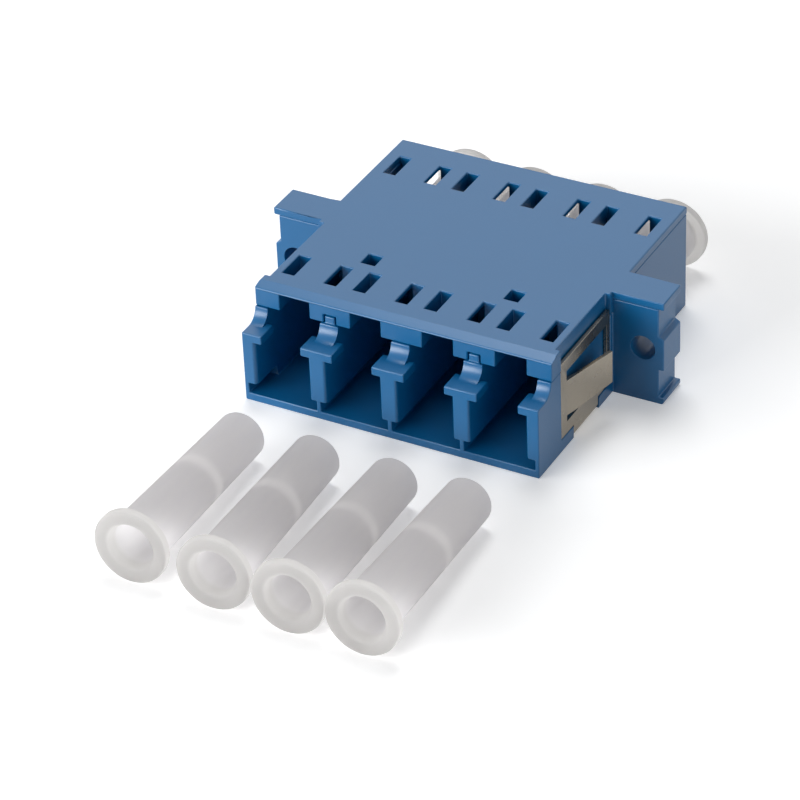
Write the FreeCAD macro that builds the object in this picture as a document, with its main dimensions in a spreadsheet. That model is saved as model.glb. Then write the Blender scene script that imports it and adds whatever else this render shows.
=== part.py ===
import FreeCAD, Part
import math
import os
import re
import Sketcher

# Four-port duplex-pair fibre adapter with a panel clip and dust caps.
# X runs across the ports, Y from the open ports to the capped ones, Z up.
# Y is 0 where the flange meets the panel and Z is 0 under the floor.

os.makedirs("parts", exist_ok=True)
doc = FreeCAD.newDocument("fibre_adapter")
sizes = doc.addObject("Spreadsheet::Sheet", "sizes")

PORTS = 4
SAME_PLACE = 1e-3
LEAST_CHANGE = 1e-4
SPLINE = "spline"

DRIVING = [
    ("wall_thick", 1.15, "side walls"),
    ("body_height", 9.3, "underside to top of the cover"),
    ("port_pitch", 6.25, "between neighbouring port centres"),
    ("port_width", 4.65, "clear width of a port"),
    ("port_reach", 12.25, "flange middle to either port face"),
    ("lip_reach", 2.4, "lower front lip, ahead of the cover"),
    ("floor_thick", 0.7, "floor of the ports"),
    ("axis_height", 3.15, "fibre axis above the underside"),
    ("guide_level", 7.4, "where the cover's blocks sit on the dividers"),
    ("cover_thick", 0.65, "top plate"),
    ("cover_skin", 0.45, "what is left over a latch channel"),
    ("latch_channel", 2.65, "width of the channel for a plug's latch"),
    ("channel_stop", 2.2, "flange middle to the end of a latch channel"),
    ("catch_outer", 2.4, "port centre to the far side of a catch window"),
    ("catch_near", 6.96, "flange middle to the near end of a catch window"),
    ("catch_far", 9.8, "flange middle to the far end of a catch window"),
    ("key_width", 1.24, "small square window over two dividers"),
    ("key_length", 1.44, "the same window, front to back"),
    ("key_place", 5.22, "flange middle to that window"),
    ("key_depth", 1.8, "pocket below that window, in the divider"),
    ("key_ledge", 0.12, "ledge that this pocket leaves round it"),
    ("notch_width", 1.1, "notch in the front of two hanging blocks"),
    ("notch_height", 0.75, "the same notch"),
    ("notch_length", 1.2, "the same notch, front to back"),
    ("notch_gap", 0.12, "air round the tab in the notch"),
    ("brow_drop", 0.28, "bevel along the cover's front edge, down"),
    ("brow_run", 0.95, "the same bevel, back"),
    ("bar_bottom", 5.5, "underside of the latch bars"),
    ("bar_top", 6.25, "top of the latch bars"),
    ("bar_depth", 2.0, "latch bar, front to back"),
    ("latch_pass", 3.45, "gap between the bars of one port"),
    ("ramp_run", 2.25, "front of the lip to the top of the hollow ramp over the bars"),
    ("lead_width", 0.2, "lead-in on the front edges of a divider, across"),
    ("side_lead", 0.22, "lead-in on the side walls, across"),
    ("lead_depth", 0.3, "lead-ins, front to back"),
    ("relief_top", 1.6, "underside of the dividers' feet"),
    ("web_thick", 0.35, "web that joins a divider to the floor"),
    ("relief_run", 3.2, "how far the side walls are thinned inside"),
    ("flange_thick", 3.15, "front to back"),
    ("flange_width", 34.4, "end to end"),
    ("flange_notch", 0.45, "depth of the notches in the flange ends"),
    ("slab_height", 0.6, "bottom slab of a flange end"),
    ("lobe_bottom", 3.1, "middle lobe of a flange end"),
    ("lobe_top", 6.2, "middle lobe of a flange end"),
    ("lobe_bevel", 0.25, "slope on top of that lobe"),
    ("hole_inset", 1.8, "flange end to the middle of its screw hole"),
    ("hole_radius", 1.05, "screw hole"),
    ("hole_height", 4.85, "screw hole above the underside"),
    ("recess_length", 9.11, "flange face to the front of the clip recess"),
    ("root_rib", 0.4, "rib between that recess and the flange, front to back"),
    ("recess_depth", 0.4, "clip recess in the side walls"),
    ("cover_recess", 0.45, "clip recess in the cover's sides"),
    ("tab_height", 1.1, "housing left below the clip's legs"),
    ("tab_radius", 0.5, "round on the rear one of those tabs"),
    ("strap_front", 6.96, "flange face to the front of the strap groove"),
    ("strap_rear", 2.56, "flange face to the back of the strap groove"),
    ("strap_groove", 0.35, "depth of that groove in the underside"),
    ("clip_thick", 0.3, "spring sheet"),
    ("clip_gap", 0.05, "air between the clip and the housing"),
    ("clip_top", 7.9, "upper edge of the clip's legs"),
    ("clip_bend", 0.5, "outside radius of the clip's bends"),
    ("slot_front", 8.06, "flange face to the front of the clip's window"),
    ("slot_rear", 0.96, "flange face to the back of the clip's window"),
    ("slot_bottom", 2.2, "lower edge of the clip's window"),
    ("slot_top", 6.8, "upper edge of the clip's window"),
    ("tang_bottom", 2.75, "lower edge of the spring tang at its root"),
    ("tang_top", 5.9, "upper edge of the spring tang"),
    ("tang_rise", 0.3, "how far the lower edge climbs to the tip"),
    ("tang_length", 5.4, "spring tang from bend to tip"),
    ("tang_angle", 14.8, "degrees the tang stands out"),
    ("holder_thick", 0.5, "plate of either sleeve holder"),
    ("holder_grip", 0.4, "how far the plates enter the side walls"),
    ("holder_gap", 0.03, "air round the plates in their groove"),
    ("barrel_radius", 1.45, "outside of a barrel"),
    ("barrel_bore", 0.9, "room for the sleeve"),
    ("barrel_reach", 4.0, "flange middle to a barrel's end"),
    ("barrel_mouth", 0.7, "hole for the ferrule in a barrel's end"),
    ("barrel_end", 0.5, "thickness of that end"),
    ("sleeve_radius", 0.81, "outside of a split sleeve"),
    ("sleeve_bore", 0.625, "inside of a split sleeve"),
    ("sleeve_play", 0.1, "either end of a split sleeve to the barrel's end wall"),
    ("sleeve_slit", 0.3, "slit along the sleeve"),
    ("cap_length", 17.5, "dust cap"),
    ("head_radius", 3.0, "its head"),
    ("head_thick", 0.75, "its head"),
    ("head_bevel", 0.15, "bevel on the head's rim"),
    ("tube_root", 2.225, "radius of the cap's tube at the head"),
    ("tube_tip", 1.98, "radius of the cap's tube at its open end"),
    ("grip_mouth", 1.95, "radius where the blind hole opens in the head"),
    ("grip_radius", 1.75, "radius of that hole further in"),
    ("grip_lead", 0.4, "depth of the slope between them"),
    ("grip_depth", 9.6, "depth of that hole"),
    ("cap_wall", 0.8, "wall between the two holes of a cap"),
    ("socket_radius", 1.55, "hole that slips over a barrel"),
    ("tip_air_1", 0.55, "holder plate to the open end of the first fitted cap"),
    ("tip_air_2", 0.11, "the same, second cap"),
    ("tip_air_3", 0.03, "the same, third cap"),
    ("tip_air_4", 0.22, "the same, fourth cap"),
    ("loose_x_1", -8.48, "head of the first cap lying loose, across"),
    ("loose_y_1", -37.33, "the same, along"),
    ("loose_angle_1", 92.17, "degrees from X to the way its open end points"),
    ("loose_x_2", -1.36, "second cap lying loose"),
    ("loose_y_2", -37.53, "second cap lying loose"),
    ("loose_angle_2", 93.69, "second cap lying loose"),
    ("loose_x_3", 4.93, "third cap lying loose"),
    ("loose_y_3", -37.70, "third cap lying loose"),
    ("loose_angle_3", 92.07, "third cap lying loose"),
    ("loose_x_4", 10.95, "fourth cap lying loose"),
    ("loose_y_4", -37.65, "fourth cap lying loose"),
    ("loose_angle_4", 91.52, "fourth cap lying loose"),
]

# Places that follow from the driving sizes, written in terms of them.
PLACES = {
    "flange_end": "flange_width / 2",
    "hole_place": "flange_end - hole_inset",
    "end_port": f"port_pitch * {(PORTS - 1) / 2}",
    "port_span": f"port_pitch * {PORTS - 1}",
    "half_port": "port_width / 2",
    "wall_inside": "end_port + half_port",
    "side": "wall_inside + wall_thick",
    "mid_plane": "flange_thick / 2",
    "front_face": "mid_plane - port_reach",
    "rear_face": "mid_plane + port_reach",
    "lip_front": "front_face - lip_reach",
    "plate_bottom": "body_height - cover_thick",
    "channel_top": "body_height - cover_skin",
    "leg_outside": "side - clip_gap",
    "leg_inside": "leg_outside - clip_thick",
    "strap_bottom": "strap_groove - clip_gap - clip_thick",
    "joint_plane": "mid_plane - holder_thick",
    "cavity_reach": "barrel_reach - barrel_end",
    "tang_tip_x": "leg_outside + tang_length * sin(tang_angle * 1 deg)",
    "tang_tip_y": "tang_length * cos(tang_angle * 1 deg) - slot_front",
    "tang_edge_x": "tang_tip_x - clip_thick * cos(tang_angle * 1 deg)",
    "tang_edge_y": "tang_tip_y + clip_thick * sin(tang_angle * 1 deg)",
    "loose_tilt": "atan((head_radius - tube_tip) / (cap_length - head_thick))",
    "loose_height": "head_radius * cos(loose_tilt) + head_thick * sin(loose_tilt)",
}

for line, (alias, size, meaning) in enumerate(DRIVING, start=1):
    sizes.set(f"A{line}", str(size))
    sizes.setAlias(f"A{line}", alias)
    sizes.set(f"B{line}", meaning)
doc.recompute()
ALIASES = {alias for alias, size, meaning in DRIVING}


def bound(text):
    """Write an expression out until it names only cells of the sheet."""
    def spell(match):
        word = match.group()
        if word in PLACES:
            return "(" + bound(PLACES[word]) + ")"
        return "sizes." + word if word in ALIASES else word
    return re.sub(r"[a-z][a-z_0-9]*", spell, text)


def number(text):
    """The value that an expression has with the sheet as it stands."""
    return float(sizes.evalExpression(bound(text)))


def plane(body, role):
    """One of the body's own origin planes or axes."""
    return next(part for part in body.Origin.OriginFeatures if part.Role == role)


def box(left, right, low, high):
    """The four corners of an upright rectangle."""
    return [(left, low), (right, low), (right, high), (left, high)]


def chain(sketch, corners):
    """Close a line through the corners; a third entry shapes the side that starts there.

    The third entry is SPLINE or the radius of an arc, with a minus in front where
    the arc turns right. Every corner and radius is held by an expression.
    """
    places = [FreeCAD.Vector(number(corner[0]), number(corner[1]), 0) for corner in corners]
    sides = []
    for step, corner in enumerate(corners):
        start = places[step]
        end = places[(step + 1) % len(corners)]
        if len(corner) == 2:
            index = sketch.addGeometry(Part.LineSegment(start, end))
            sides.append((index, 1, 2))
            continue
        if corner[2] == SPLINE:
            curve = Part.BSplineCurve()
            curve.buildFromPoles([start, end])
            sides.append((sketch.addGeometry(curve), 1, 2))
            continue
        turn = -1 if corner[2].startswith("-") else 1
        radius = number(corner[2].lstrip("-"))
        chord = end - start
        rise = math.sqrt(max(radius ** 2 - (chord.Length / 2) ** 2, 0.0))
        left = FreeCAD.Vector(-chord.y, chord.x, 0).normalize()
        centre = start + chord / 2 + left * rise * turn
        ends = (start, end) if turn > 0 else (end, start)
        angles = [math.atan2(place.y - centre.y, place.x - centre.x) for place in ends]
        circle = Part.Circle(centre, FreeCAD.Vector(0, 0, 1), radius)
        index = sketch.addGeometry(Part.ArcOfCircle(circle, angles[0], angles[1]))
        sides.append((index, 1, 2) if turn > 0 else (index, 2, 1))
        hold = sketch.addConstraint(Sketcher.Constraint("Radius", index, radius))
        sketch.setExpression(f"Constraints[{hold}]", bound(corner[2].lstrip("-")))
    for step, corner in enumerate(corners):
        index, begin, finish = sides[step]
        after, after_begin, after_finish = sides[(step + 1) % len(corners)]
        sketch.addConstraint(Sketcher.Constraint("Coincident", index, finish, after, after_begin))
        for kind, value in (("DistanceX", corner[0]), ("DistanceY", corner[1])):
            hold = sketch.addConstraint(Sketcher.Constraint(kind, -1, 1, index, begin, number(value)))
            sketch.setExpression(f"Constraints[{hold}]", bound(value))


def ring(sketch, across, up, radius):
    """A circle held by its centre and radius."""
    centre = FreeCAD.Vector(number(across), number(up), 0)
    circle = Part.Circle(centre, FreeCAD.Vector(0, 0, 1), number(radius))
    index = sketch.addGeometry(circle)
    for kind, value in (("DistanceX", across), ("DistanceY", up)):
        hold = sketch.addConstraint(Sketcher.Constraint(kind, -1, 1, index, 3, number(value)))
        sketch.setExpression(f"Constraints[{hold}]", bound(value))
    hold = sketch.addConstraint(Sketcher.Constraint("Radius", index, number(radius)))
    sketch.setExpression(f"Constraints[{hold}]", bound(radius))


def draw(body, name, role, outlines, place="0"):
    """A sketch on an origin plane: a list of corners is a chain, a tuple a circle."""
    sketch = body.newObject("Sketcher::SketchObject", name)
    sketch.AttachmentSupport = [(plane(body, role), "")]
    sketch.MapMode = "FlatFace"
    sketch.setExpression("AttachmentOffset.Base.z", bound(place))
    for outline in outlines:
        if isinstance(outline, tuple):
            ring(sketch, *outline)
        else:
            chain(sketch, outline)
    return sketch


def settle(body, feature, more):
    """Recompute and make sure that the feature adds or takes away material."""
    before = 0.0 if body.Shape.isNull() else body.Shape.Volume
    body.Tip = feature
    doc.recompute()
    change = body.Shape.Volume - before
    if (change > 0) != more or abs(change) < LEAST_CHANGE:
        raise RuntimeError(f"{body.Label}: {feature.Name} changed the volume by {change:.4f}")
    return feature


def prism(kind, body, name, role, outlines, low, high):
    """A Pad or Pocket between two places along the world axis square to the plane."""
    away = role == "XZ_Plane"
    start = low if (kind == "Pad") != away else high
    profile = draw(body, f"{name}_profile", role, outlines, f"-({start})" if away else start)
    feature = body.newObject(f"PartDesign::{kind}", name)
    feature.Profile = profile
    feature.setExpression("Length", bound(f"({high}) - ({low})"))
    profile.Visibility = False
    return settle(body, feature, kind == "Pad")


def pad(body, name, role, outlines, low, high):
    """Material between two places."""
    return prism("Pad", body, name, role, outlines, low, high)


def pocket(body, name, role, outlines, low, high):
    """A cut between two places."""
    return prism("Pocket", body, name, role, outlines, low, high)


def across(body, name, features, length, count, more):
    """Repeat features along X."""
    pattern = body.newObject("PartDesign::LinearPattern", name)
    pattern.Originals = features
    pattern.Direction = (plane(body, "X_Axis"), [""])
    pattern.setExpression("Length", bound(length))
    pattern.Occurrences = count
    return settle(body, pattern, more)


def mirrored(body, name, features, more):
    """Repeat features on the other side of the middle."""
    mirror = body.newObject("PartDesign::Mirrored", name)
    mirror.Originals = features
    mirror.MirrorPlane = (plane(body, "YZ_Plane"), [""])
    return settle(body, mirror, more)


def fillet(body, name, radius, wanted, more=False):
    """Round the edges of the present solid whose middles satisfy a test."""
    edges = []
    for index, edge in enumerate(body.Shape.Edges, start=1):
        middle = edge.valueAt((edge.FirstParameter + edge.LastParameter) / 2)
        if wanted(edge, middle):
            edges.append(f"Edge{index}")
    if not edges:
        raise RuntimeError(f"{body.Label}: no edge for {name}")
    solid = body.Tip
    feature = body.newObject("PartDesign::Fillet", name)
    feature.Base = (solid, edges)
    feature.setExpression("Radius", bound(radius))
    return settle(body, feature, more)


def new_body(name):
    """An empty body whose label names its node."""
    body = doc.addObject("PartDesign::Body", name)
    body.Label = name
    return body


def near(value, place):
    """Whether a coordinate is at a named place."""
    return abs(value - number(place)) < SAME_PLACE


def lower_housing():
    """Moulded tray with the floor, side walls, dividers and flange."""
    body = new_body("lower_housing")
    pad(body, "tray", "XY_Plane", [box("-side", "side", "lip_front", "rear_face")], "0", "guide_level")
    pad(body, "flange", "XY_Plane", [box("-flange_end", "flange_end", "0", "flange_thick")],
        "0", "plate_bottom")
    pad(body, "rear_walls", "XY_Plane",
        [box("wall_inside", "side", "flange_thick", "rear_face"),
         box("-side", "-wall_inside", "flange_thick", "rear_face")], "guide_level", "plate_bottom")
    pocket(body, "cover_bay", "XY_Plane", [box("-wall_inside", "wall_inside", "0", "flange_thick")],
           "guide_level", "plate_bottom")
    ports(body)
    feet(body)
    ramp(body)
    pocket(body, "holder_groove", "XY_Plane",
           [box("-wall_inside - holder_grip", "wall_inside + holder_grip",
                "mid_plane - 2 * holder_thick - holder_gap", "mid_plane + holder_gap")],
           "floor_thick", "plate_bottom")
    clip_recess(body)
    flange_ends(body)
    divider_tops(body)
    return body


def ports(body):
    """Four plug openings with latch bars, drawn for the first port and repeated."""
    left = "-end_port - half_port"
    right = "-end_port + half_port"
    pass_left = "-end_port - latch_pass / 2"
    pass_right = "-end_port + latch_pass / 2"
    opening = [(left, "floor_thick"), (right, "floor_thick"), (right, "bar_bottom"),
               (pass_right, "bar_bottom"), (pass_right, "bar_top"), (right, "bar_top"),
               (right, "plate_bottom"), (left, "plate_bottom"), (left, "bar_top"),
               (pass_left, "bar_top"), (pass_left, "bar_bottom"), (left, "bar_bottom")]
    through = pocket(body, "port", "XZ_Plane", [opening], "lip_front", "rear_face")
    room = pocket(body, "latch_room", "XY_Plane",
                  [box(left, right, "lip_front + bar_depth", "rear_face - bar_depth")],
                  "bar_bottom", "bar_top")
    flare = [("-end_port - half_port - lead_width", "lip_front"),
             ("-end_port + half_port + lead_width", "lip_front"),
             (right, "lip_front + lead_depth"), (left, "lip_front + lead_depth")]
    rear_flare = [(left, "rear_face - lead_depth"), (right, "rear_face - lead_depth"),
                  ("-end_port + half_port + lead_width", "rear_face"),
                  ("-end_port - half_port - lead_width", "rear_face")]
    lead_in = pocket(body, "lead_in", "XY_Plane", [flare, rear_flare], "floor_thick", "bar_bottom")
    across(body, "ports", [through, room, lead_in], "port_span", PORTS, False)
    side_lead = [("wall_inside", "lip_front"), ("wall_inside + side_lead", "lip_front"),
                 ("wall_inside", "lip_front + lead_depth")]
    one = pocket(body, "side_lead_in", "XY_Plane", [side_lead], "floor_thick", "bar_bottom")
    mirrored(body, "side_lead_ins", [one], False)


def feet(body):
    """Undercut feet: each divider meets the floor in a thin web, each side wall is thinned."""
    low = "-port_pitch - (port_pitch - port_width) / 2"
    high = "-port_pitch + (port_pitch - port_width) / 2"
    web_low = "-port_pitch - web_thick / 2"
    web_high = "-port_pitch + web_thick / 2"
    cuts = [box(low, web_low, "lip_front", "0"), box(web_high, high, "lip_front", "0"),
            box(low, web_low, "flange_thick", "rear_face"),
            box(web_high, high, "flange_thick", "rear_face")]
    foot = pocket(body, "divider_foot", "XY_Plane", cuts, "floor_thick", "relief_top")
    across(body, "divider_feet", [foot], "port_span - port_pitch", PORTS - 1, False)
    thin = [box("wall_inside", "side - web_thick", "lip_front", "lip_front + relief_run"),
            box("wall_inside", "side - web_thick", "rear_face - relief_run", "rear_face")]
    wall = pocket(body, "wall_foot", "XY_Plane", thin, "floor_thick", "relief_top")
    mirrored(body, "wall_feet", [wall], False)


def ramp(body):
    """Hollow ramp that leads a plug's latch over the bars and under the cover."""
    rise = "guide_level - bar_top"
    curve = [("lip_front", "bar_top"), (f"lip_front + ramp_run - ({rise})", "bar_top", rise),
             ("lip_front + ramp_run", "guide_level"), ("lip_front", "guide_level")]
    pocket(body, "ramp", "YZ_Plane", [curve], "-side", "side")


def clip_recess(body):
    """Seat for the spring clip down both sides and under the floor."""
    outline = [("-recess_length", "guide_level"), ("-recess_length", "tab_height"),
               ("-strap_front", "tab_height"), ("-strap_front", "0"), ("-strap_rear", "0"),
               ("-strap_rear", "tab_height - tab_radius", "-tab_radius"),
               ("-strap_rear + tab_radius", "tab_height"), ("-root_rib", "tab_height"),
               ("-root_rib", "guide_level")]
    seat = pocket(body, "clip_seat", "YZ_Plane", [outline], "side - recess_depth", "side")
    mirrored(body, "clip_seats", [seat], False)
    pocket(body, "strap_groove_cut", "XY_Plane", [box("-side", "side", "-strap_front", "-strap_rear")],
           "0", "strap_groove")


def flange_ends(body):
    """Notched flange ends, their screw holes and a soft lower corner."""
    inner = "flange_end - flange_notch"
    lower = box(inner, "flange_end", "slab_height", "lobe_bottom")
    upper = [(inner, "lobe_top"), ("flange_end", "lobe_top - lobe_bevel"),
             ("flange_end", "plate_bottom"), (inner, "plate_bottom")]
    notch = pocket(body, "end_notch", "XZ_Plane", [lower, upper], "0", "flange_thick")
    hole = pocket(body, "screw_hole", "XZ_Plane",
                  [("hole_place", "hole_height", "hole_radius")], "0", "flange_thick")
    mirrored(body, "flange_end_pair", [notch, hole], False)
    fillet(body, "flange_corners", "tab_radius / 2",
           lambda edge, middle: near(abs(middle.x), "flange_end") and near(middle.z, "0"))


def divider_tops(body):
    """Tab that stands in a notch of the cover, and a pocket below the small window."""
    half = "notch_width / 2 - notch_gap"
    tab = pad(body, "divider_tab", "XY_Plane",
              [box(f"port_pitch - ({half})", f"port_pitch + {half}",
                   "front_face", "front_face + notch_length - notch_gap")],
              "guide_level", "guide_level + notch_height - notch_gap")
    mirrored(body, "divider_tabs", [tab], True)
    well = pocket(body, "key_well", "XY_Plane",
                  [box("port_pitch - key_width / 2 + key_ledge", "port_pitch + key_width / 2 - key_ledge",
                       "mid_plane - key_place - key_length / 2 + key_ledge",
                       "mid_plane - key_place + key_length / 2 - key_ledge")],
                  "guide_level - key_depth", "guide_level")
    mirrored(body, "key_wells", [well], False)


def top_cover():
    """Plate with the hanging blocks that close the latch channels."""
    body = new_body("top_cover")
    plan = [("-side", "front_face"), ("side", "front_face"), ("side", "0"), ("flange_end", "0"),
            ("flange_end", "flange_thick"), ("side", "flange_thick"), ("side", "rear_face"),
            ("-side", "rear_face"), ("-side", "flange_thick"), ("-flange_end", "flange_thick"),
            ("-flange_end", "0"), ("-side", "0")]
    pad(body, "plate", "XY_Plane", [plan], "plate_bottom", "body_height")
    pad(body, "front_block", "XY_Plane", [box("-side", "side", "front_face", "0")],
        "guide_level", "plate_bottom")
    pad(body, "rear_block", "XY_Plane",
        [box("-wall_inside + clip_gap", "wall_inside - clip_gap", "0", "rear_face")],
        "guide_level", "plate_bottom")
    left = "-end_port - latch_channel / 2"
    right = "-end_port + latch_channel / 2"
    channel = pocket(body, "channel", "XY_Plane",
                     [box(left, right, "front_face", "mid_plane - channel_stop"),
                      box(left, right, "mid_plane + channel_stop", "rear_face")],
                     "guide_level", "channel_top")
    windows = []
    for edges in (("-end_port - catch_outer", left), (right, "-end_port + catch_outer")):
        windows.append(box(*edges, "mid_plane - catch_far", "mid_plane - catch_near"))
        windows.append(box(*edges, "mid_plane + catch_near", "mid_plane + catch_far"))
    catch = pocket(body, "catch_window", "XY_Plane", windows, "guide_level", "body_height")
    across(body, "channels", [channel, catch], "port_span", PORTS, False)
    key = pocket(body, "key_window", "XY_Plane",
                 [box("port_pitch - key_width / 2", "port_pitch + key_width / 2",
                      "mid_plane - key_place - key_length / 2",
                      "mid_plane - key_place + key_length / 2")], "guide_level", "body_height")
    notch = pocket(body, "front_notch", "XY_Plane",
                   [box("port_pitch - notch_width / 2", "port_pitch + notch_width / 2",
                        "front_face", "front_face + notch_length")],
                   "guide_level", "guide_level + notch_height")
    seat = pocket(body, "clip_side", "XY_Plane",
                  [box("side - cover_recess", "side", "-recess_length", "-root_rib")],
                  "guide_level", "body_height")
    mirrored(body, "side_pair", [key, notch, seat], False)
    brow = [("front_face", "body_height - brow_drop"), ("front_face + brow_run", "body_height"),
            ("front_face", "body_height")]
    pocket(body, "brow", "YZ_Plane", [brow], "-side", "side")
    fillet(body, "long_edges", "brow_drop / 2",
           lambda edge, middle: near(abs(middle.x), "side") and near(middle.z, "body_height"))
    return body


def panel_clip():
    """Spring sheet folded round the floor, with a tang struck out of each leg."""
    body = new_body("panel_clip")
    outer = "clip_bend"
    inner = "clip_bend - clip_thick"
    foot = "strap_bottom"
    inside = "strap_bottom + clip_thick"
    knee = "tab_height + clip_bend"
    strap = [("-leg_outside", knee), ("-leg_outside", f"{foot} + {outer}", outer),
             (f"-leg_outside + {outer}", foot), (f"leg_outside - {outer}", foot, outer),
             ("leg_outside", f"{foot} + {outer}"), ("leg_outside", knee), ("leg_inside", knee),
             ("leg_inside", f"{foot} + {outer}", f"-({inner})"),
             (f"leg_outside - {outer}", inside), (f"-leg_outside + {outer}", inside, f"-({inner})"),
             ("-leg_inside", f"{foot} + {outer}"), ("-leg_inside", knee)]
    pad(body, "strap", "XZ_Plane", [strap], "-strap_front + clip_gap", "-strap_rear - clip_gap")
    leg = pad(body, "leg", "YZ_Plane",
              [box("-recess_length + clip_gap", "-root_rib - clip_gap", "tab_height + clip_gap", "clip_top")],
              "leg_inside", "leg_outside")
    window = pocket(body, "window", "YZ_Plane",
                    [box("-slot_front", "-slot_rear", "slot_bottom", "slot_top")],
                    "leg_inside", "leg_outside")
    blade = [("leg_inside", "-slot_front - clip_thick"), ("leg_outside", "-slot_front - clip_thick"),
             ("leg_outside", "-slot_front"), ("tang_tip_x", "tang_tip_y"),
             ("tang_edge_x", "tang_edge_y"), ("leg_inside", "-slot_front + clip_gap")]
    tang = pad(body, "tang", "XY_Plane", [blade], "tang_bottom", "tang_top")
    taper = pocket(body, "tang_taper", "YZ_Plane",
                   [[("-slot_front + tang_length / 4", "tang_bottom"), ("tang_edge_y", "tang_bottom"),
                     ("tang_edge_y", "tang_bottom + tang_rise")]],
                   "leg_inside", "tang_tip_x")
    mirrored(body, "other_leg", [leg, window, tang, taper], True)
    return body


def sleeve_holder(name, plate, barrel, cavity, mouth):
    """Plate with four barrels; each pair gives the near and far place along Y."""
    body = new_body(name)
    edge = "wall_inside + holder_grip - holder_gap"
    pad(body, f"{name}_plate", "XZ_Plane", [box(f"-({edge})", edge, "floor_thick", "guide_level")], *plate)
    tube = pad(body, f"{name}_barrel", "XZ_Plane", [("-end_port", "axis_height", "barrel_radius")], *barrel)
    bore = pocket(body, f"{name}_bore", "XZ_Plane", [("-end_port", "axis_height", "barrel_bore")], *cavity)
    hole = pocket(body, f"{name}_mouth", "XZ_Plane", [("-end_port", "axis_height", "barrel_mouth")], *mouth)
    across(body, f"{name}_row", [tube, bore, hole], "port_span", PORTS, True)
    return body


def alignment_sleeve(index):
    """Split ceramic sleeve, slit upwards."""
    body = new_body(f"alignment_sleeve_{index}")
    middle = f"port_pitch * {index - (PORTS + 1) / 2}"
    ends = ("mid_plane - cavity_reach + sleeve_play", "mid_plane + cavity_reach - sleeve_play")
    pad(body, f"sleeve_{index}", "XZ_Plane",
        [(middle, "axis_height", "sleeve_radius"), (middle, "axis_height", "sleeve_bore")], *ends)
    pocket(body, f"slit_{index}", "XZ_Plane",
           [box(f"{middle} - sleeve_slit / 2", f"{middle} + sleeve_slit / 2",
                "axis_height", "axis_height + sleeve_radius")], *ends)
    return body


def dust_cap(name, placement):
    """Turned form: blind hole in the head, tapering tube, socket in the open end."""
    body = new_body(name)
    socket_foot = "grip_depth + cap_wall"
    half = [("0", "grip_depth"), ("grip_radius", "grip_depth"), ("grip_radius", "grip_lead"),
            ("grip_mouth", "0"), ("head_radius - head_bevel", "0"), ("head_radius", "head_bevel"),
            ("head_radius", "head_thick"), ("tube_root", "head_thick", SPLINE),
            ("tube_tip", "cap_length"), ("socket_radius", "cap_length"),
            ("socket_radius", socket_foot), ("0", socket_foot)]
    profile = draw(body, f"{name}_half", "XZ_Plane", [half])
    turned = body.newObject("PartDesign::Revolution", f"{name}_turned")
    turned.Profile = profile
    turned.ReferenceAxis = (profile, ["V_Axis"])
    profile.Visibility = False
    settle(body, turned, True)
    body.setExpression("Placement", bound(placement))
    return body


lower_housing()
top_cover()
panel_clip()
sleeve_holder("sleeve_holder_front",
              ("joint_plane - holder_thick", "joint_plane"), ("mid_plane - barrel_reach", "joint_plane"),
              ("mid_plane - cavity_reach", "joint_plane"),
              ("mid_plane - barrel_reach", "mid_plane - cavity_reach"))
sleeve_holder("sleeve_holder_rear",
              ("joint_plane", "mid_plane"), ("joint_plane", "mid_plane + barrel_reach"),
              ("joint_plane", "mid_plane + cavity_reach"),
              ("mid_plane + cavity_reach", "mid_plane + barrel_reach"))
for port in range(1, PORTS + 1):
    alignment_sleeve(port)
for port in range(1, PORTS + 1):
    centre = f"port_pitch * {port - (PORTS + 1) / 2}"
    dust_cap(f"dust_cap_rear_{port}",
             f"placement(vector({centre}; mid_plane + cap_length + tip_air_{port}; axis_height); "
             f"rotation(vector(1; 0; 0); 90))")
for port in range(1, PORTS + 1):
    dust_cap(f"dust_cap_loose_{port}",
             f"placement(vector(loose_x_{port}; loose_y_{port}; loose_height); "
             f"rotation(loose_angle_{port}; 90 + loose_tilt / 1 deg; 0))")

doc.recompute()
for item in doc.Objects:
    if "Invalid" in item.State or "Error" in item.State:
        raise RuntimeError(f"{item.Label} is {item.State}")
for item in doc.Objects:
    if item.TypeId == "PartDesign::Body":
        if item.Shape.isNull() or not item.Shape.isValid():
            raise RuntimeError(f"{item.Label} has no sound shape")
        item.Shape.exportStep(f"parts/{item.Label}.step")
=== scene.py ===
"""Four-port fibre adapter: moulded blue housing, spring clip, ceramic sleeves and soft dust caps."""

import math
from itertools import combinations

import bmesh
import bpy
from mathutils import Matrix, Vector
from mathutils.geometry import intersect_point_line


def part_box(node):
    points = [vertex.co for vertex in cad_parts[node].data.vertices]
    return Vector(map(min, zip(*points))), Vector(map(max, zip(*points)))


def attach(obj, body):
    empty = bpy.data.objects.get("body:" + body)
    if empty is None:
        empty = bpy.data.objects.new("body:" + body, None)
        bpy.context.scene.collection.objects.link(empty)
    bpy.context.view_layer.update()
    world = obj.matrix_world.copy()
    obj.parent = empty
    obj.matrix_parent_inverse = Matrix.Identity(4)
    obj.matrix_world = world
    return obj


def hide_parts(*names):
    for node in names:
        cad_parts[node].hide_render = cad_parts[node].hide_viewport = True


bl_info = {
    "name": "Fibre adapter finish",
    "version": (1, 0, 0),
    "blender": (4, 5, 0),
    "location": "3D View > Sidebar > Adapter",
    "description": "Dresses a four-port fibre adapter with its moulded, sprung and ceramic parts",
    "category": "Object",
}

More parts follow.
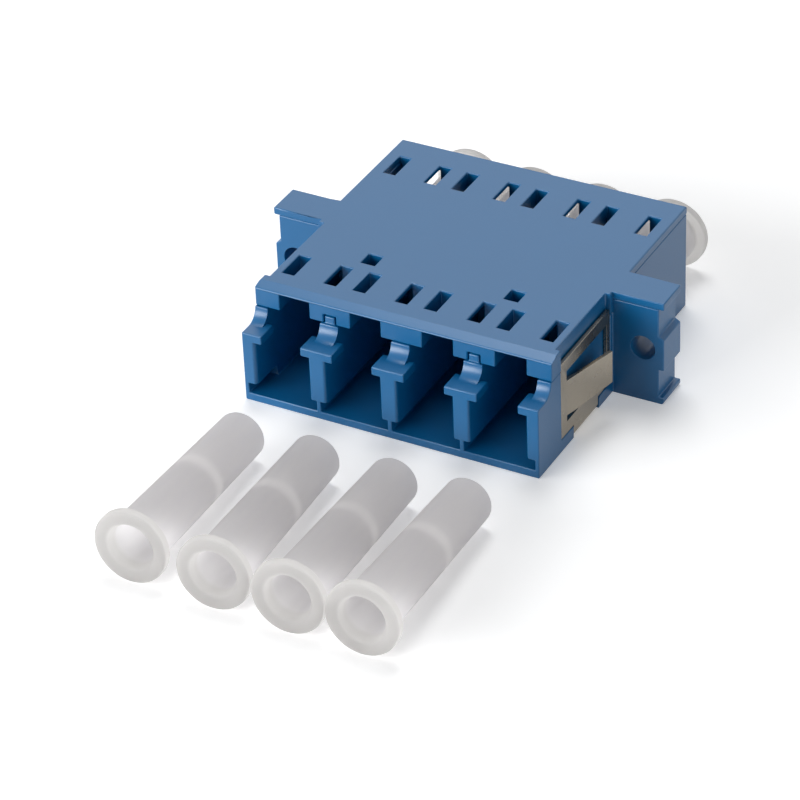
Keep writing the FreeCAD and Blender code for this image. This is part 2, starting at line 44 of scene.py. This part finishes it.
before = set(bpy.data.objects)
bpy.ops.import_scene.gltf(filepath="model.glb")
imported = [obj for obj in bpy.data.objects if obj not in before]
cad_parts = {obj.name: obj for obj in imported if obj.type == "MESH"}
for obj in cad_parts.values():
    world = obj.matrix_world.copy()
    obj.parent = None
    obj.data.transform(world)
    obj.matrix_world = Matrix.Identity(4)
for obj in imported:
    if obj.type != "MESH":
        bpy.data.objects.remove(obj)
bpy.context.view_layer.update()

MM = 0.001
PORTS = 4

# A solid's copy is merged back into whole faces; its sharp edges are rounded as far as there is room, and an
# edge that runs on into another shares its round. Large faces set the shading of the rounds beside them.
SAME_SPOT = 0.001 * MM
SAME_PLANE = math.radians(0.5)
SHARP = math.radians(35)
RUNS_ON = math.radians(40)
SHARE_OF_ROOM = 0.45
SAME_ROUND = 0.001
FACE_WEIGHT = 50

# Dust cap, in millimetres: the same form and places as the solids.
CAP_LENGTH = 17.5
CAP_HEAD = 3.0
CAP_HEAD_THICK = 0.75
CAP_ROOT = 2.225
CAP_TIP = 1.98
GRIP_MOUTH = 1.95
GRIP_RADIUS = 1.75
GRIP_LEAD = 0.4
GRIP_DEPTH = 9.6
CAP_WALL = 0.8
SOCKET = 1.55

# Head's place across and along, and the way the open end points, in degrees from X.
LOOSE_CAPS = ((-8.48, -37.33, 92.17), (-1.36, -37.53, 93.69), (4.93, -37.70, 92.07), (10.95, -37.65, 91.52))

# Soft boxes: name, place, width and height in metres, and power in watts.
SOFT_BOXES = (
    ("overhead", (-0.07, 0.14, 0.405), (0.20, 0.20), 0.74),
    ("front", (-0.42, -0.56, 0.20), (0.70, 0.40), 7.2),
    ("back_panel", (-0.20, 0.36, 0.28), (0.35, 0.35), 0.22),
    ("right", (0.40, -0.10, 0.12), (0.30, 0.30), 0.35),
)

# Where the camera aims, and how far it stands to the left of that and below it, in millimetres.
AIM = (0, 0.94, 4.6)
CAMERA_LEFT = 5.63
CAMERA_BELOW = 7.98

# The floor is lit paper up to the first distance from the origin, and plain white from the second on.
PAPER_TO = 110 * MM
WHITE_FROM = 350 * MM
FLOOR_REACH = 3000 * MM
SURROUNDINGS = 0.2


def linear(colour):
    """An sRGB hex colour as the linear values that a shader takes."""
    channels = [int(colour[place:place + 2], 16) / 255 for place in (1, 3, 5)]
    return [value / 12.92 if value <= 0.04045 else ((value + 0.055) / 1.055) ** 2.4 for value in channels] + [1]


def add(tree, kind, settings=None, links=None):
    """Add a node, set its properties and sockets, and link other nodes' outputs to it, by name or place."""
    node = tree.nodes.new(kind)
    for name, value in (settings or {}).items():
        if isinstance(name, int) or name in node.inputs:
            node.inputs[name].default_value = value
        else:
            setattr(node, name, value)
    for name, source in (links or {}).items():
        tree.links.new(source, node.inputs[name])
    return node


def new_material(name):
    """A material without nodes, and its node tree."""
    material = bpy.data.materials.new(name)
    material.use_nodes = True
    material.node_tree.nodes.clear()
    return material, material.node_tree


class HousingLook(bpy.types.PropertyGroup):
    """Moulded housing and cover"""

    colour: bpy.props.StringProperty(
        name="Colour", description="Blue of the moulding, as sRGB hex", default="#005B8E")
    edge: bpy.props.FloatProperty(
        name="Edge round", description="Radius that the mould leaves on an edge",
        default=0.11 * MM, unit="LENGTH", precision=6)
    grain: bpy.props.FloatProperty(
        name="Grain", description="Width of one pit of the spark-eroded mould surface",
        default=0.12 * MM, unit="LENGTH", precision=6)


class ClipLook(bpy.types.PropertyGroup):
    """Spring clip"""

    colour: bpy.props.StringProperty(
        name="Colour", description="Colour of the stainless sheet, as sRGB hex", default="#978F82")
    edge: bpy.props.FloatProperty(
        name="Edge round", description="Radius along the punched edges",
        default=0.03 * MM, unit="LENGTH", precision=6)
    grain: bpy.props.FloatProperty(
        name="Rolling grain", description="Spacing of the lines that rolling leaves along the sheet",
        default=0.05 * MM, unit="LENGTH", precision=6)


class CapLook(bpy.types.PropertyGroup):
    """Dust caps"""

    colour: bpy.props.StringProperty(
        name="Colour", description="Colour of the soft clear plastic, as sRGB hex", default="#E7E6E5")
    clearness: bpy.props.FloatProperty(
        name="Clearness", description="Share of the light that passes through",
        default=0.92, min=0, max=1, subtype="FACTOR")
    rim: bpy.props.FloatProperty(
        name="Rim round", description="Radius on the rims of head and tube",
        default=0.14 * MM, unit="LENGTH", precision=6)
    steps: bpy.props.IntProperty(
        name="Steps", description="Flats round the turned shape", default=72, min=12)


class StageLook(bpy.types.PropertyGroup):
    """Floor, light and camera"""

    azimuth: bpy.props.FloatProperty(
        name="Azimuth", description="Camera's turn to the right of the open ports",
        default=math.radians(29.36), subtype="ANGLE", unit="ROTATION")
    elevation: bpy.props.FloatProperty(
        name="Elevation", description="Camera's height above the horizon",
        default=math.radians(34.16), subtype="ANGLE", unit="ROTATION")
    roll: bpy.props.FloatProperty(
        name="Roll", description="Camera's lean", default=math.radians(2.46), subtype="ANGLE", unit="ROTATION")
    distance: bpy.props.FloatProperty(
        name="Distance", description="Camera to the middle of the adapter",
        default=294.7 * MM, unit="LENGTH", precision=4)
    lens: bpy.props.FloatProperty(
        name="Lens", description="Focal length", default=167.3, unit="CAMERA")
    level: bpy.props.FloatProperty(
        name="Light level", description="Brightness of the lamps as a whole", default=1.0, min=0)


class ADAPTER_OT_moulded_parts(bpy.types.Operator):
    """Dress the lower housing and the top cover in moulded plastic"""

    bl_idname = "adapter.moulded_parts"
    bl_label = "Housing and cover"

    def execute(self, context):
        look = context.scene.housing_look
        plastic = moulded_polyester("PBT, injection moulded in a spark-eroded mould", look.colour, look.grain)
        for name in ("lower_housing", "top_cover"):
            piece = softened_copy(name, look.edge)
            finish(piece, plastic, "adapter", name)
        return {"FINISHED"}


class ADAPTER_OT_panel_clip(bpy.types.Operator):
    """Dress the spring clip in rolled stainless sheet"""

    bl_idname = "adapter.panel_clip"
    bl_label = "Panel clip"

    def execute(self, context):
        look = context.scene.clip_look
        piece = softened_copy("panel_clip", look.edge)
        steel = rolled_stainless("Stainless spring strip, cold rolled", look.colour, look.grain)
        finish(piece, steel, "adapter", "panel_clip")
        return {"FINISHED"}


class ADAPTER_OT_sleeves(bpy.types.Operator):
    """Dress the two sleeve holders and the split sleeves"""

    bl_idname = "adapter.sleeves"
    bl_label = "Holders and sleeves"

    def execute(self, context):
        look = context.scene.housing_look
        plastic = moulded_polyester("PBT, injection moulded, fine core finish", look.colour, look.grain / 2)
        for name in ("sleeve_holder_front", "sleeve_holder_rear"):
            piece = softened_copy(name, look.edge / 2)
            finish(piece, plastic, "adapter", name)
        ceramic = zirconia("Zirconia, sintered and polished")
        for port in range(1, PORTS + 1):
            name = f"alignment_sleeve_{port}"
            piece = softened_copy(name, look.edge / 2)
            finish(piece, ceramic, "adapter", name)
        return {"FINISHED"}


class ADAPTER_OT_rear_caps(bpy.types.Operator):
    """Turn the four dust caps that are fitted in the rear ports"""

    bl_idname = "adapter.rear_caps"
    bl_label = "Fitted dust caps"

    def execute(self, context):
        look = context.scene.cap_look
        soft = soft_polythene("LDPE, injection moulded, fitted caps", look.colour, look.clearness)
        for port in range(1, PORTS + 1):
            node = f"dust_cap_rear_{port}"
            low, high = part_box(node)
            head = Vector(((low.x + high.x) / 2, high.y, (low.z + high.z) / 2))
            place = Matrix.Translation(head) @ Matrix.Rotation(math.radians(90), 4, "X")
            piece = turned_cap(f"fitted_cap_{port}", place, look)
            finish(piece, soft, f"rear_cap_{port}", node)
        return {"FINISHED"}


class ADAPTER_OT_loose_caps(bpy.types.Operator):
    """Turn the four dust caps that lie in front of the open ports"""

    bl_idname = "adapter.loose_caps"
    bl_label = "Loose dust caps"

    def execute(self, context):
        look = context.scene.cap_look
        soft = soft_polythene("LDPE, injection moulded, loose caps", look.colour, look.clearness)
        for port, (across, along, heading) in enumerate(LOOSE_CAPS, start=1):
            tilt = math.atan((CAP_HEAD - CAP_TIP) / (CAP_LENGTH - CAP_HEAD_THICK))
            height = CAP_HEAD * math.cos(tilt) + CAP_HEAD_THICK * math.sin(tilt)
            place = (Matrix.Translation((across * MM, along * MM, height * MM))
                     @ Matrix.Rotation(math.radians(heading), 4, "Z")
                     @ Matrix.Rotation(math.radians(90) + tilt, 4, "Y"))
            piece = turned_cap(f"loose_cap_{port}", place, look)
            finish(piece, soft, "adapter", f"dust_cap_loose_{port}")
        return {"FINISHED"}


class ADAPTER_OT_stage(bpy.types.Operator):
    """Lay the floor, hang the soft boxes and set up the camera"""

    bl_idname = "adapter.stage"
    bl_label = "Stage"

    def execute(self, context):
        look = context.scene.stage_look
        lay_floor()
        hang_lights(look.level)
        light_world(look.level)
        set_camera(look)
        context.scene.view_settings.view_transform = "Standard"
        return {"FINISHED"}


def room_beside(edge):
    """Distance from an edge to the nearest edge across its two faces."""
    nearest = math.inf
    for part in (0.25, 0.5, 0.75):
        spot = edge.verts[0].co.lerp(edge.verts[1].co, part)
        for face in edge.link_faces:
            for other in face.edges:
                if set(edge.verts).isdisjoint(other.verts):
                    start, end = (corner.co for corner in other.verts)
                    share = intersect_point_line(spot, start, end)[1]
                    nearest = min(nearest, (spot - start.lerp(end, min(max(share, 0), 1))).length)
    return nearest


def evened(form, rounds):
    """Where one rounded edge goes on into the next, both take the smaller round of the two."""
    uneven = True
    while uneven:
        uneven = False
        for corner in form.verts:
            for one, other in combinations([edge for edge in corner.link_edges if edge[rounds] > 0], 2):
                way, way_on = (edge.other_vert(corner).co - corner.co for edge in (one, other))
                if way.angle(-way_on) < RUNS_ON and abs(one[rounds] - other[rounds]) > SAME_ROUND:
                    one[rounds] = other[rounds] = min(one[rounds], other[rounds])
                    uneven = True


def softened_copy(node, radius):
    """A merged copy of a solid, its edges rounded as the tool leaves them, less where room is short."""
    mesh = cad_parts[node].data.copy()
    mesh.materials.clear()
    form = bmesh.new()
    form.from_mesh(mesh)
    bmesh.ops.remove_doubles(form, verts=form.verts, dist=SAME_SPOT)
    bmesh.ops.dissolve_limit(form, angle_limit=SAME_PLANE, verts=form.verts, edges=form.edges)
    rounds = form.edges.layers.float.new("bevel_weight_edge")
    for edge in form.edges:
        if len(edge.link_faces) == 2 and edge.calc_face_angle() > SHARP:
            edge[rounds] = min(1, SHARE_OF_ROOM * room_beside(edge) / radius)
    evened(form, rounds)
    for face in form.faces:
        face.smooth = True
    form.to_mesh(mesh)
    form.free()
    piece = bpy.data.objects.new(node + "_dressed", mesh)
    bpy.context.scene.collection.objects.link(piece)
    rounding = piece.modifiers.new("edge round", "BEVEL")
    rounding.width = radius
    rounding.segments = 3
    rounding.limit_method = "WEIGHT"
    rounding.use_clamp_overlap = False
    flats = piece.modifiers.new("flat faces", "WEIGHTED_NORMAL")
    flats.mode = "FACE_AREA"
    flats.weight = FACE_WEIGHT
    return piece


def turned_cap(name, place, look):
    """One cap: its half section spun round its axis, the rims rounded, then put in its place."""
    form = bmesh.new()
    # Radius and depth of each corner, from the grip's end, out over the head and along the tube, to the web.
    section = ((0, GRIP_DEPTH), (GRIP_RADIUS, GRIP_DEPTH), (GRIP_RADIUS, GRIP_LEAD), (GRIP_MOUTH, 0),
               (CAP_HEAD, 0), (CAP_HEAD, CAP_HEAD_THICK), (CAP_ROOT, CAP_HEAD_THICK), (CAP_TIP, CAP_LENGTH),
               (SOCKET, CAP_LENGTH), (SOCKET, GRIP_DEPTH + CAP_WALL), (0, GRIP_DEPTH + CAP_WALL))
    corners = [form.verts.new((radius * MM, 0, depth * MM)) for radius, depth in section]
    sides = [form.edges.new(pair) for pair in zip(corners, corners[1:])]
    bmesh.ops.spin(form, geom=corners + sides, cent=(0, 0, 0), axis=(0, 0, 1), dvec=(0, 0, 0),
                   angle=math.radians(360), steps=look.steps, use_merge=True, use_duplicate=False)
    bmesh.ops.remove_doubles(form, verts=form.verts, dist=SAME_SPOT)
    bmesh.ops.recalc_face_normals(form, faces=form.faces)
    rims = [edge for edge in form.edges if len(edge.link_faces) == 2 and edge.calc_face_angle() > SHARP]
    bmesh.ops.bevel(form, geom=rims, offset=look.rim, affect="EDGES", segments=4, profile=0.5, material=-1)
    for face in form.faces:
        face.smooth = True
    wrap = form.loops.layers.uv.new("wrap")
    for face in form.faces:
        for loop in face.loops:
            spot = loop.vert.co
            loop[wrap].uv = (math.atan2(spot.y, spot.x) / math.tau, spot.z / MM)
    form.transform(place)
    mesh = bpy.data.meshes.new(name)
    form.to_mesh(mesh)
    form.free()
    piece = bpy.data.objects.new(name, mesh)
    bpy.context.scene.collection.objects.link(piece)
    return piece


def finish(piece, material, body, node):
    """Give a piece its material and let it stand for its solid."""
    piece.data.materials.append(material)
    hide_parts(node)
    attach(piece, body)


def moulded_polyester(name, colour, grain):
    """PBT: dense, slightly glossy plastic; the spark-eroded mould gives it a fine matt pitting.

    Real pits are a few hundredths of a millimetre wide; they are drawn coarser, so that they show at all.
    """
    material, tree = new_material(name)
    place = add(tree, "ShaderNodeTexCoord").outputs["Object"]
    cloud = add(tree, "ShaderNodeTexNoise", {"Scale": 1 / (4 * MM), "Detail": 3.0}, {"Vector": place})
    pits = add(tree, "ShaderNodeTexNoise", {"Scale": 1 / grain, "Detail": 2.0, "Roughness": 0.6},
               {"Vector": place}).outputs["Fac"]
    share = add(tree, "ShaderNodeMapRange", {"To Min": 0.0, "To Max": 0.5}, {"Value": cloud.outputs["Fac"]})
    deeper = [value * 0.86 for value in linear(colour)[:3]] + [1]
    shade = add(tree, "ShaderNodeMixRGB", {"Color1": linear(colour), "Color2": deeper},
                {"Fac": share.outputs["Result"]})
    rough = add(tree, "ShaderNodeMapRange", {"To Min": 0.27, "To Max": 0.4}, {"Value": pits})
    relief = add(tree, "ShaderNodeBump", {"Strength": 0.16, "Distance": 0.012 * MM}, {"Height": pits})
    skin = add(tree, "ShaderNodeBsdfPrincipled", {"IOR": 1.54},
               {"Base Color": shade.outputs["Color"], "Roughness": rough.outputs["Result"],
                "Normal": relief.outputs["Normal"]})
    add(tree, "ShaderNodeOutputMaterial", links={"Surface": skin.outputs["BSDF"]})
    return material


def rolled_stainless(name, colour, grain):
    """Stainless spring strip: rolling leaves fine bright lines along it, drawn a little wider than life."""
    material, tree = new_material(name)
    place = add(tree, "ShaderNodeTexCoord").outputs["Object"]
    # A line is some 30 times as long as it is wide.
    stretch = add(tree, "ShaderNodeMapping", {"Scale": (1 / grain, 0.03 / grain, 1 / grain)}, {"Vector": place})
    lines = add(tree, "ShaderNodeTexNoise", {"Scale": 1.0, "Detail": 3.0},
                {"Vector": stretch.outputs["Vector"]})
    smear = add(tree, "ShaderNodeTexNoise", {"Scale": 1 / (1.5 * MM), "Detail": 2.0}, {"Vector": place})
    rough = add(tree, "ShaderNodeMapRange", {"To Min": 0.18, "To Max": 0.34}, {"Value": smear.outputs["Fac"]})
    relief = add(tree, "ShaderNodeBump", {"Strength": 0.25, "Distance": 0.004 * MM},
                 {"Height": lines.outputs["Fac"]})
    skin = add(tree, "ShaderNodeBsdfPrincipled", {"Base Color": linear(colour), "Metallic": 1.0},
               {"Roughness": rough.outputs["Result"], "Normal": relief.outputs["Normal"]})
    add(tree, "ShaderNodeOutputMaterial", links={"Surface": skin.outputs["BSDF"]})
    return material


def zirconia(name):
    """Zirconia ceramic: white with a trace of cream, polished bright."""
    material, tree = new_material(name)
    place = add(tree, "ShaderNodeTexCoord").outputs["Object"]
    lap = add(tree, "ShaderNodeTexNoise", {"Scale": 1 / (0.3 * MM), "Detail": 2.0}, {"Vector": place})
    rough = add(tree, "ShaderNodeMapRange", {"To Min": 0.08, "To Max": 0.16}, {"Value": lap.outputs["Fac"]})
    skin = add(tree, "ShaderNodeBsdfPrincipled", {"Base Color": linear("#F2EFE6"), "IOR": 2.1},
               {"Roughness": rough.outputs["Result"]})
    add(tree, "ShaderNodeOutputMaterial", links={"Surface": skin.outputs["BSDF"]})
    return material


def soft_polythene(name, colour, clearness):
    """LDPE: soft and milky, so light comes through its thin walls; waxy skin, faint streaks along the tube."""
    material, tree = new_material(name)
    wrap = add(tree, "ShaderNodeUVMap", {"uv_map": "wrap"}).outputs["UV"]
    # 18 streaks round the tube, each about 4 mm long.
    flow = add(tree, "ShaderNodeMapping", {"Scale": (18.0, 0.25, 1.0)}, {"Vector": wrap})
    streaks = add(tree, "ShaderNodeTexNoise", {"Scale": 1.0, "Detail": 3.0},
                  {"Vector": flow.outputs["Vector"]}).outputs["Fac"]
    milk = add(tree, "ShaderNodeMixRGB", {"Color1": linear(colour), "Color2": linear("#E2E1E3")},
               {"Fac": streaks})
    # The solid web between the two hollows lets less light through and shows as a paler band.
    depth = add(tree, "ShaderNodeSeparateXYZ", links={"Vector": wrap}).outputs["Y"]
    from_web = add(tree, "ShaderNodeMath", {"operation": "SUBTRACT", 1: GRIP_DEPTH + CAP_WALL / 2}, {0: depth})
    apart = add(tree, "ShaderNodeMath", {"operation": "ABSOLUTE"}, {0: from_web.outputs["Value"]})
    web = add(tree, "ShaderNodeMapRange",
              {"From Min": CAP_WALL / 4, "From Max": CAP_WALL, "To Min": 0.3, "To Max": 0.0},
              {"Value": apart.outputs["Value"]})
    banded = add(tree, "ShaderNodeMixRGB", {"Color2": linear("#FBFAF8")},
                 {"Fac": web.outputs["Result"], "Color1": milk.outputs["Color"]})
    # The disc of the head is thick and stands clear of the tube, so it takes light from both sides; it is mixed
    # towards a darker grey, painted shade that brings it down to the brightness of the tube.
    disc = add(tree, "ShaderNodeMapRange",
               {"From Min": CAP_HEAD_THICK, "From Max": 1.6 * CAP_HEAD_THICK, "To Min": 1.0, "To Max": 0.0},
               {"Value": depth})
    milk_with_painted_shade = add(tree, "ShaderNodeMixRGB", {"Color2": linear("#DCDBDA")},
                 {"Fac": disc.outputs["Result"], "Color1": banded.outputs["Color"]}).outputs["Color"]
    rough = add(tree, "ShaderNodeMapRange", {"To Min": 0.28, "To Max": 0.42}, {"Value": streaks})
    relief = add(tree, "ShaderNodeBump", {"Strength": 0.12, "Distance": 0.02 * MM}, {"Height": streaks})
    skin = add(tree, "ShaderNodeBsdfPrincipled",
               {"IOR": 1.51, "Subsurface Weight": 1.0,
                "Subsurface Radius": (1.0, 1.0, 1.0), "Subsurface Scale": 0.6 * MM},
               {"Base Color": milk_with_painted_shade, "Roughness": rough.outputs["Result"], "Normal": relief.outputs["Normal"]})
    # The walls are thin enough for most of the light to come through them.
    through = add(tree, "ShaderNodeBsdfTranslucent", links={"Color": milk_with_painted_shade})
    thin = add(tree, "ShaderNodeMixShader", {"Fac": clearness},
               {1: skin.outputs["BSDF"], 2: through.outputs["BSDF"]})
    add(tree, "ShaderNodeOutputMaterial", links={"Surface": thin.outputs["Shader"]})
    return material


def seen_rays(tree):
    """1 for rays that show the background itself: to the camera, in gloss and through clear parts."""
    path = add(tree, "ShaderNodeLightPath").outputs
    shown = path["Is Camera Ray"]
    for ray in ("Is Glossy Ray", "Is Transmission Ray"):
        shown = add(tree, "ShaderNodeMath", {"operation": "MAXIMUM"}, {0: shown, 1: path[ray]}).outputs["Value"]
    return shown


def lay_floor():
    """A pale floor that keeps the soft shadow and goes to white away from it."""
    form = bmesh.new()
    bmesh.ops.create_grid(form, x_segments=1, y_segments=1, size=FLOOR_REACH)
    mesh = bpy.data.meshes.new("floor")
    form.to_mesh(mesh)
    form.free()
    floor = bpy.data.objects.new("floor", mesh)
    bpy.context.scene.collection.objects.link(floor)
    material, tree = new_material("Paper sweep, matt white")
    # Light that bounces onto the object comes from plain paper; the eye and gloss see it a little whiter.
    paper = add(tree, "ShaderNodeBsdfDiffuse", {"Color": linear("#E6E6E6")})
    bright = add(tree, "ShaderNodeBsdfDiffuse", {"Color": linear("#FAFAFA")})
    glow = add(tree, "ShaderNodeEmission", {"Color": (1, 1, 1, 1), "Strength": 0.25})
    lifted = add(tree, "ShaderNodeAddShader", links={0: bright.outputs["BSDF"], 1: glow.outputs["Emission"]})
    # Beyond the lamps' reach the sweep is as white as the background that it goes over into.
    place = add(tree, "ShaderNodeTexCoord").outputs["Object"]
    away = add(tree, "ShaderNodeVectorMath", {"operation": "LENGTH"}, {0: place})
    far = add(tree, "ShaderNodeMapRange", {"From Min": PAPER_TO, "From Max": WHITE_FROM},
              {"Value": away.outputs["Value"]})
    white = add(tree, "ShaderNodeEmission", {"Color": (1, 1, 1, 1), "Strength": 1.0})
    sweep = add(tree, "ShaderNodeMixShader",
                links={"Fac": far.outputs["Result"], 1: lifted.outputs["Shader"], 2: white.outputs["Emission"]})
    either = add(tree, "ShaderNodeMixShader",
                 links={"Fac": seen_rays(tree), 1: paper.outputs["BSDF"], 2: sweep.outputs["Shader"]})
    add(tree, "ShaderNodeOutputMaterial", links={"Surface": either.outputs["Shader"]})
    mesh.materials.append(material)


def light_world(level):
    """Even pale surroundings, white where the camera sees them."""
    world = bpy.data.worlds.new("Studio surroundings")
    world.use_nodes = True
    tree = world.node_tree
    tree.nodes.clear()
    around = add(tree, "ShaderNodeBackground", {"Color": linear("#EEF1F5"), "Strength": SURROUNDINGS * level})
    behind = add(tree, "ShaderNodeBackground", {"Color": (1, 1, 1, 1), "Strength": 1.0})
    either = add(tree, "ShaderNodeMixShader",
                 links={"Fac": seen_rays(tree), 1: around.outputs["Background"],
                        2: behind.outputs["Background"]})
    add(tree, "ShaderNodeOutputWorld", links={"Surface": either.outputs["Shader"]})
    bpy.context.scene.world = world


def hang_lights(level):
    """Soft boxes: one overhead, a broad one low in front, and weak ones at the back and at the right."""
    for name, spot, (width, height), power in SOFT_BOXES:
        lamp = bpy.data.lights.new(name, "AREA")
        lamp.shape = "RECTANGLE"
        lamp.size = width
        lamp.size_y = height
        lamp.energy = power * level
        holder = bpy.data.objects.new(name, lamp)
        holder.location = spot
        holder.rotation_euler = (-Vector(spot)).to_track_quat("-Z", "Y").to_euler()
        bpy.context.scene.collection.objects.link(holder)


def set_camera(look):
    """The photograph's viewpoint: looking down on the open ports from the right, with a slight lean."""
    turn, rise = look.azimuth, look.elevation
    back = Vector((math.sin(turn) * math.cos(rise), -math.cos(turn) * math.cos(rise), math.sin(rise)))
    level_right = Vector((math.cos(turn), math.sin(turn), 0))
    level_up = back.cross(level_right)
    right = level_right * math.cos(look.roll) - level_up * math.sin(look.roll)
    up = level_right * math.sin(look.roll) + level_up * math.cos(look.roll)
    camera = bpy.data.cameras.new("camera")
    camera.lens = look.lens
    camera.sensor_width = 36
    camera.clip_start = 0.01
    camera.clip_end = 10
    holder = bpy.data.objects.new("camera", camera)
    turned = Matrix((right, up, back)).transposed().to_4x4()
    spot = (Vector(AIM) - right * CAMERA_LEFT - up * CAMERA_BELOW) * MM + back * look.distance
    holder.matrix_world = Matrix.Translation(spot) @ turned
    bpy.context.scene.collection.objects.link(holder)
    bpy.context.scene.camera = holder


class ADAPTER_PT_looks(bpy.types.Panel):
    """Buttons and values for the adapter"""

    bl_label = "Fibre adapter"
    bl_idname = "ADAPTER_PT_looks"
    bl_space_type = "VIEW_3D"
    bl_region_type = "UI"
    bl_category = "Adapter"

    def draw(self, context):
        for look, operators in SECTIONS:
            group = getattr(context.scene, look)
            box = self.layout.box()
            for name in group.__class__.__annotations__:
                box.prop(group, name)
            for operator in operators:
                box.operator(operator)


LOOKS = {"housing_look": HousingLook, "clip_look": ClipLook, "cap_look": CapLook, "stage_look": StageLook}
SECTIONS = (
    ("housing_look", ("adapter.moulded_parts", "adapter.sleeves")),
    ("clip_look", ("adapter.panel_clip",)),
    ("cap_look", ("adapter.rear_caps", "adapter.loose_caps")),
    ("stage_look", ("adapter.stage",)),
)
CLASSES = (*LOOKS.values(), ADAPTER_OT_moulded_parts, ADAPTER_OT_panel_clip, ADAPTER_OT_sleeves,
           ADAPTER_OT_rear_caps, ADAPTER_OT_loose_caps, ADAPTER_OT_stage, ADAPTER_PT_looks)


def register():
    for item in CLASSES:
        bpy.utils.register_class(item)
    for name, group in LOOKS.items():
        setattr(bpy.types.Scene, name, bpy.props.PointerProperty(type=group))


def unregister():
    for name in LOOKS:
        delattr(bpy.types.Scene, name)
    for item in reversed(CLASSES):
        bpy.utils.unregister_class(item)


def main():
    register()
    bpy.ops.adapter.moulded_parts()
    bpy.ops.adapter.panel_clip()
    bpy.ops.adapter.sleeves()
    bpy.ops.adapter.rear_caps()
    bpy.ops.adapter.loose_caps()
    bpy.ops.adapter.stage()


if __name__ == "__main__":
    main()
